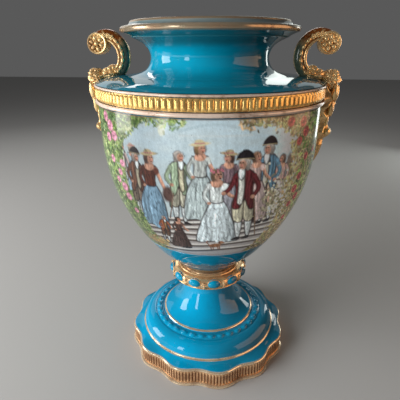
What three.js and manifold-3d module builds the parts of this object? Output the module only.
// Mantel urn in turquoise and gilt porcelain: a hollow painted vessel on a lobed foot,
// with two scroll handles that end in a mask and a leaf drop.
// Millimetres, +Z up, origin at the centre of the standing ring; the handles lie along X.
import * as THREE from 'three';
import { mergeVertices } from 'three/addons/utils/BufferGeometryUtils.js';
import Module from 'manifold-3d';

// ---- driving dimensions ----------------------------------------------------------------
const HEIGHT = 413.5;           // standing plane to the top of the lip
const BAND_R = 125;             // valleys of the fluted shoulder band
const BAND_Z = 338.5;           // lower edge of the fluted band
const BAND_H = 10.5;            // height of the fluted band
const RIBS = 136;               // ribs round the band
const RIB_OUT = 1.3;            // how far a rib stands out of its valley
const WALL = 5;                 // thickness of the vessel's wall
const LIP_R = 84.5;             // raised lip at the mouth
const RIM_R = 95.3;             // gilt rim below the lip
const NECK_R = 64.5;            // waist of the neck
const NECK_Z = 377.5;
const BOWL_FOOT_R = 43.6;       // gilt line at the bottom of the bowl
const SEAT_Z = 120.5;           // where the vessel stands on the collar
const GAP = 0.3;                // clearance between neighbouring pieces
const FINE = 0.12;              // detail below this is left out of the facets

const COLLAR_R = 49;            // widest part of the jewelled collar
const STONES = 12;              // cabochons round the collar
const STEM_R = 30.5;            // waist of the foot's stem
const LINE1_R = 60.6;           // gilt line where the stem meets the torus
const LINE2_R = 89;             // gilt line where the torus meets the flange
const LOBES = 12;               // lobes of the flange
const LOBE_R = 103.8;           // mean radius of the lobed edge
const LOBE_OUT = 2.6;           // half the depth of the lobes
const FLANGE_Z = 25;            // top of the gilt wall under the flange

const BODY_SIDES = 40;          // facets round the vessel
const FOOT_SIDES = 32;          // facets round the foot

const SCROLL = [126.4, 392.2];  // centre of the handle's volute, from the axis and in height
const SCROLL_R = 12.4;
const MASK = [131.5, 355.8];    // centre of the mask's head

// ---- solid helpers ---------------------------------------------------------------------
const wasm = await Module();
wasm.setup();

// closes a geometry into a solid, leaving out the slivers that a lathe makes on its axis
function solidOf(geometry) {
  const bare = geometry.clone();
  bare.deleteAttribute('normal');
  bare.deleteAttribute('uv');
  const merged = mergeVertices(bare, 1e-3);
  const index = merged.index.array;
  const keep = [];
  for (let i = 0; i < index.length; i += 3) {
    const [a, b, c] = [index[i], index[i + 1], index[i + 2]];
    if (a !== b && b !== c && c !== a) keep.push(a, b, c);
  }
  return new wasm.Manifold(new wasm.Mesh({
    numProp: 3,
    vertProperties: new Float32Array(merged.attributes.position.array),
    triVerts: new Uint32Array(keep),
  }));
}

function geometryOf(solid) {
  const mesh = solid.getMesh();
  const geometry = new THREE.BufferGeometry();
  geometry.setAttribute('position', new THREE.BufferAttribute(mesh.vertProperties, 3));
  geometry.setIndex(new THREE.BufferAttribute(mesh.triVerts, 1));
  geometry.computeVertexNormals();
  return geometry;
}

// a turned solid from radius and height pairs that start and end on the axis, bottom first
function turned(profile, sides) {
  const points = profile.map(([r, z]) => new THREE.Vector2(r, z));
  return solidOf(new THREE.LatheGeometry(points, sides).rotateX(Math.PI / 2));
}

// a closed skin through rings of points; every ring has the same number of points
function skin(rings) {
  const n = rings[0].length;
  const position = rings.flat(2);
  const index = [];
  for (let k = 0; k + 1 < rings.length; k++) {
    for (let i = 0; i < n; i++) {
      const a = k * n + i;
      const b = k * n + (i + 1) % n;
      index.push(a, b, b + n, a, b + n, a + n);
    }
  }
  const centre = (ring) => ring.reduce((s, p) => s.map((v, j) => v + p[j] / n), [0, 0, 0]);
  const low = position.length / 3;
  position.push(...centre(rings[0]), ...centre(rings[rings.length - 1]));
  const last = (rings.length - 1) * n;
  for (let i = 0; i < n; i++) {
    index.push(low, (i + 1) % n, i, low + 1, last + i, last + (i + 1) % n);
  }
  const geometry = new THREE.BufferGeometry();
  geometry.setAttribute('position', new THREE.Float32BufferAttribute(position, 3));
  geometry.setIndex(index);
  return solidOf(geometry);
}

// level rings about Z whose radius depends on the angle
function stack(levels, columns) {
  return skin(levels.map(([z, radius]) => Array.from({ length: columns }, (_, i) => {
    const t = (i / columns) * 2 * Math.PI;
    const r = radius(t);
    return [r * Math.cos(t), r * Math.sin(t), z];
  })));
}

const gauss = (x, width) => Math.exp(-((x / width) ** 2));

// ---- vessel ----------------------------------------------------------------------------
const bowl = [[BOWL_FOOT_R, 130], [71.5, 158.4], [91.5, 187], [106.1, 215.6], [116.1, 244.1],
  [121.6, 272.8], [123.6, 301.3], [124, 331]];
const shoulder = [[123.4, 354.1], [111, 357.6], [94, 359.6]];
const neck = [[80.5, 361.3], [70.9, 365.2], [65.6, 372], [NECK_R + 0.3, 381.5],
  [69.1, 389.4], [74.1, 393.3], [82.4, 397.1]];
const lip = [[84, 398.4], [92.8, 402.4], [RIM_R, 405.2], [93.8, 408.1], [86.6, 409.8],
  [LIP_R, 412.4], [LIP_R - 2.2, HEIGHT]];

// the outside, with the band's mouldings; `grow` moves it outwards for clearances
function outside(grow, bandR) {
  const out = ([r, z]) => [r + grow, z];
  const bandTop = BAND_Z + BAND_H;
  return [
    [0, SEAT_Z - grow], [34.5 + grow, SEAT_Z - grow],
    ...[[37.6, 125.5], [42.4, 127.4], ...bowl].map(out),
    ...[[126.6, 333.2], [126.8, 337], [bandR, BAND_Z]].map(out),
    ...[[bandR, bandTop], [126.9, 350], [126.2, 353.2]].map(out),
    ...[...shoulder, ...neck].map(([r, z]) => [r, z + grow]),
  ];
}

const hollow = [[0, 137], [36, 140], [66, 162], [88, 194], [103, 223.5],
  [114, 256.5], [118.4, 297], [118.9, 343], [111, 352],
  [78, 356.4], [62.4, 366], [NECK_R - WALL + 0.3, 381.5],
  [77, 401], [LIP_R - WALL, 411], [LIP_R - WALL, HEIGHT + 5], [0, HEIGHT + 5]];

const shell = turned([...outside(0, BAND_R - 0.4), ...lip, [0, HEIGHT]], BODY_SIDES);
const ribs = stack([[BAND_Z, 0], [BAND_Z + BAND_H, 0]].map(([z]) => [z, (t) => {
  const rib = Math.round((t / (2 * Math.PI)) * 2 * RIBS) % 2;
  return BAND_R + rib * RIB_OUT;
}]), 2 * RIBS);
const urnBody = shell.add(ribs).subtract(turned(hollow, 28)).simplify(FINE);

// ---- foot ------------------------------------------------------------------------------
const footProfile = [[0, 12], [96, 12], [LOBE_R - 5, FLANGE_Z - 0.5], [LINE2_R + 1, 30.4],
  [LINE2_R, 33], [87.4, 39.6], [82.6, 44.8], [74, 47.2], [69, 48.5], [63, 48.2],
  [LINE1_R, 50.6], [54, 53.4], [45, 59.8], [38, 69.4], [33.4, 81], [STEM_R, 94], [32, 100.6],
  [43.6, 102.4], [47, 105.4], [COLLAR_R, 111], [47.6, 115.8],
  [41.6, 118.2], [37.8, SEAT_Z - GAP], [0, SEAT_Z - GAP]];

const lobed = (offset) => (t) => LOBE_R + offset + LOBE_OUT * Math.cos(LOBES * (t - Math.PI / LOBES));
const wall = stack([[0, lobed(1.4)], [3.4, lobed(1.4)], [4.6, lobed(-0.6)],
  [FLANGE_Z - 3, lobed(-0.6)], [FLANGE_Z, lobed(0.4)], [FLANGE_Z + 0.9, lobed(-6)]], 5 * LOBES);
const under = [[0, -5], [93, -5], [92, 16], [80, 34], [58, 42], [38, 57], [26, 78], [23, 100],
  [0, 106]];

let foot = turned(footProfile, FOOT_SIDES).add(wall);
for (let i = 0; i < STONES; i++) {
  const stone = solidOf(new THREE.SphereGeometry(1, 6, 4).scale(5.2, 3.4, 4.4)
    .rotateX(Math.PI / 2).rotateZ(-Math.PI / 2).rotateY(0.12)
    .translate(COLLAR_R - 2, 0, 111.6).rotateZ(((i + 0.5) / STONES) * 2 * Math.PI));
  foot = foot.add(stone);
}
foot = foot.subtract(turned(under, 20)).simplify(FINE);

// ---- handles ---------------------------------------------------------------------------
// stem: a rounded bar with a fillet on its inner edge, swept round the C and into the volute
const stemPath = new THREE.CatmullRomCurve3([[113, 356], [103.8, 362.4], [98.2, 370.5],
  [96.8, 379.5], [98.9, 388.4], [104.8, 396.2], [113, 400.5], [121.3, 400.2], [127.6, 396.2],
  [128.5, 391]].map(([x, z]) => new THREE.Vector3(x, 0, z)));
const stemSection = [[-0.85, -0.75], [0.1, -1.05], [0.5, -0.75], [0.97, -0.65],
  [0.97, 0.65], [0.5, 0.75], [0.1, 1.05], [-0.85, 0.75]];
const STEM_STEPS = 14;
const stemRings = [];
for (let k = 0; k <= STEM_STEPS; k++) {
  const s = k / STEM_STEPS;
  const centre = stemPath.getPointAt(s);
  const along = stemPath.getTangentAt(s);
  const inward = new THREE.Vector3(along.z, 0, -along.x);     // towards the middle of the C
  const half = 6.1 + 0.8 * Math.sin(Math.PI * Math.min(1, s * 1.25));
  const thick = 6.2 + 1.6 * s;
  stemRings.push(stemSection.map(([u, v]) => [
    centre.x + inward.x * u * half, v * thick, centre.z + inward.z * u * half]));
}
const stem = skin(stemRings);

// volute: a boss with eight petals and a button on both sides
const bossProfile = [[4, -9.8], [10.4, -9], [SCROLL_R, -6], [SCROLL_R, 6], [10.4, 9], [4, 9.8]];
const boss = skin(bossProfile.map(([r, y]) => Array.from({ length: 16 }, (_, i) => {
  const t = (i / 16) * 2 * Math.PI;
  const petal = r * (1 + (r > 5 ? 0.045 * Math.cos(8 * t) : 0));
  return [SCROLL[0] + petal * Math.sin(t), y, SCROLL[1] + petal * Math.cos(t)];
})));

// mask: a bearded head that looks outwards, with curls over the brow
function faceRelief(lon, lat) {
  const side = Math.abs(lon);
  let d = 0;
  d += 2.6 * gauss(lon, 0.17) * gauss(lat + 0.12, 0.3);                    // nose
  d += 1.1 * gauss(side - 0.3, 0.3) * gauss(lat - 0.34, 0.14);             // brow
  d -= 1.5 * gauss(side - 0.42, 0.2) * gauss(lat - 0.1, 0.16);             // eye hollow
  d += 0.9 * gauss(side - 0.55, 0.22) * gauss(lat + 0.25, 0.2);            // cheek
  d -= 1.0 * gauss(lon, 0.3) * gauss(lat + 0.55, 0.09);                    // mouth
  d += 1.4 * gauss(lat + 0.95, 0.35) * (0.75 + 0.25 * Math.cos(7 * lon));  // beard
  const hair = Math.max(gauss(lat - 0.95, 0.35), 0.9 * gauss(side - 1.5, 0.45));
  d += hair * (1.1 + 0.8 * Math.cos(8 * lon) * Math.cos(7 * lat));         // curls
  return d;
}
function ball(centre, size, relief, around, levels) {
  const rings = [];
  for (let k = 1; k < levels; k++) {
    const lat = -Math.PI / 2 + (k / levels) * Math.PI;
    rings.push(Array.from({ length: around }, (_, i) => {
      let lon = (i / around) * 2 * Math.PI;
      if (lon > Math.PI) lon -= 2 * Math.PI;
      const d = relief(lon, lat);
      return [
        centre[0] + (size[0] + d) * Math.cos(lat) * Math.cos(lon),
        (size[1] + d) * Math.cos(lat) * Math.sin(lon),
        centre[1] + (size[2] + d) * Math.sin(lat)];
    }));
  }
  return skin(rings);
}
const head = ball(MASK, [9.4, 9.6, 9], faceRelief, 17, 10);

// leaf at the stem's foot: a rounded boss with lobes that lie on the shoulder
const leafBoss = ball([114.5, 358.5], [14.5, 9.5, 10], (lon, lat) => 0.9 * Math.cos(6 * lon)
  * Math.cos(lat), 12, 6);
const leafFan = stack([[350, () => 13], [357.4, (t) => 13 + 5 * Math.abs(Math.cos(3 * t))],
  [361, () => 9]], 24)
  .translate([116, 0, 0]);

// drop: beard and leaf hanging down the side of the bowl, with a knob and a tail
const drop = [[352, 135, 7], [344, 139.6, 11], [335, 142, 13], [328.5, 140.4, 11.5],
  [323.5, 137.6, 9.5], [316, 137.6, 8.8], [309, 134.4, 5.8], [303.5, 137, 6.6], [299, 139, 7.2],
  [294.8, 137, 6], [291, 131.4, 4.4], [284, 131.2, 5.6], [274, 128.4, 4.6], [262, 122.8, 1.4]];
const dropRings = drop.map(([z, reach, width]) => Array.from({ length: 8 }, (_, i) => {
  const t = (i / 8) * 2 * Math.PI;
  const back = 117;
  const ridge = 1 - 0.1 * Math.abs(Math.sin(3 * t));
  return [back + (reach - back) * Math.max(Math.cos(t), -0.2) * ridge, width * Math.sin(t), z];
})).reverse();

const clearance = turned([...outside(GAP, BAND_R + RIB_OUT + GAP), [0, 397.1]], BODY_SIDES);
const handle = stem.add(boss).add(head).add(leafBoss).add(leafFan).add(skin(dropRings))
  .subtract(clearance).simplify(FINE);

// ---- the part --------------------------------------------------------------------------
const group = new THREE.Group();
group.name = 'mantel_urn';
function piece(name, solid, colour, roughness, metalness) {
  const material = new THREE.MeshStandardMaterial({ color: colour, roughness, metalness });
  const mesh = new THREE.Mesh(geometryOf(solid), material);
  mesh.name = name;
  group.add(mesh);
}
piece('urn_body', urnBody, 0x1590b4, 0.12, 0.0);
piece('foot', foot, 0x0f86b0, 0.12, 0.0);
piece('handle_right', handle, 0xc8913c, 0.28, 0.85);
piece('handle_left', handle.rotate([0, 0, 180]), 0xc8913c, 0.28, 0.85);

export default group;
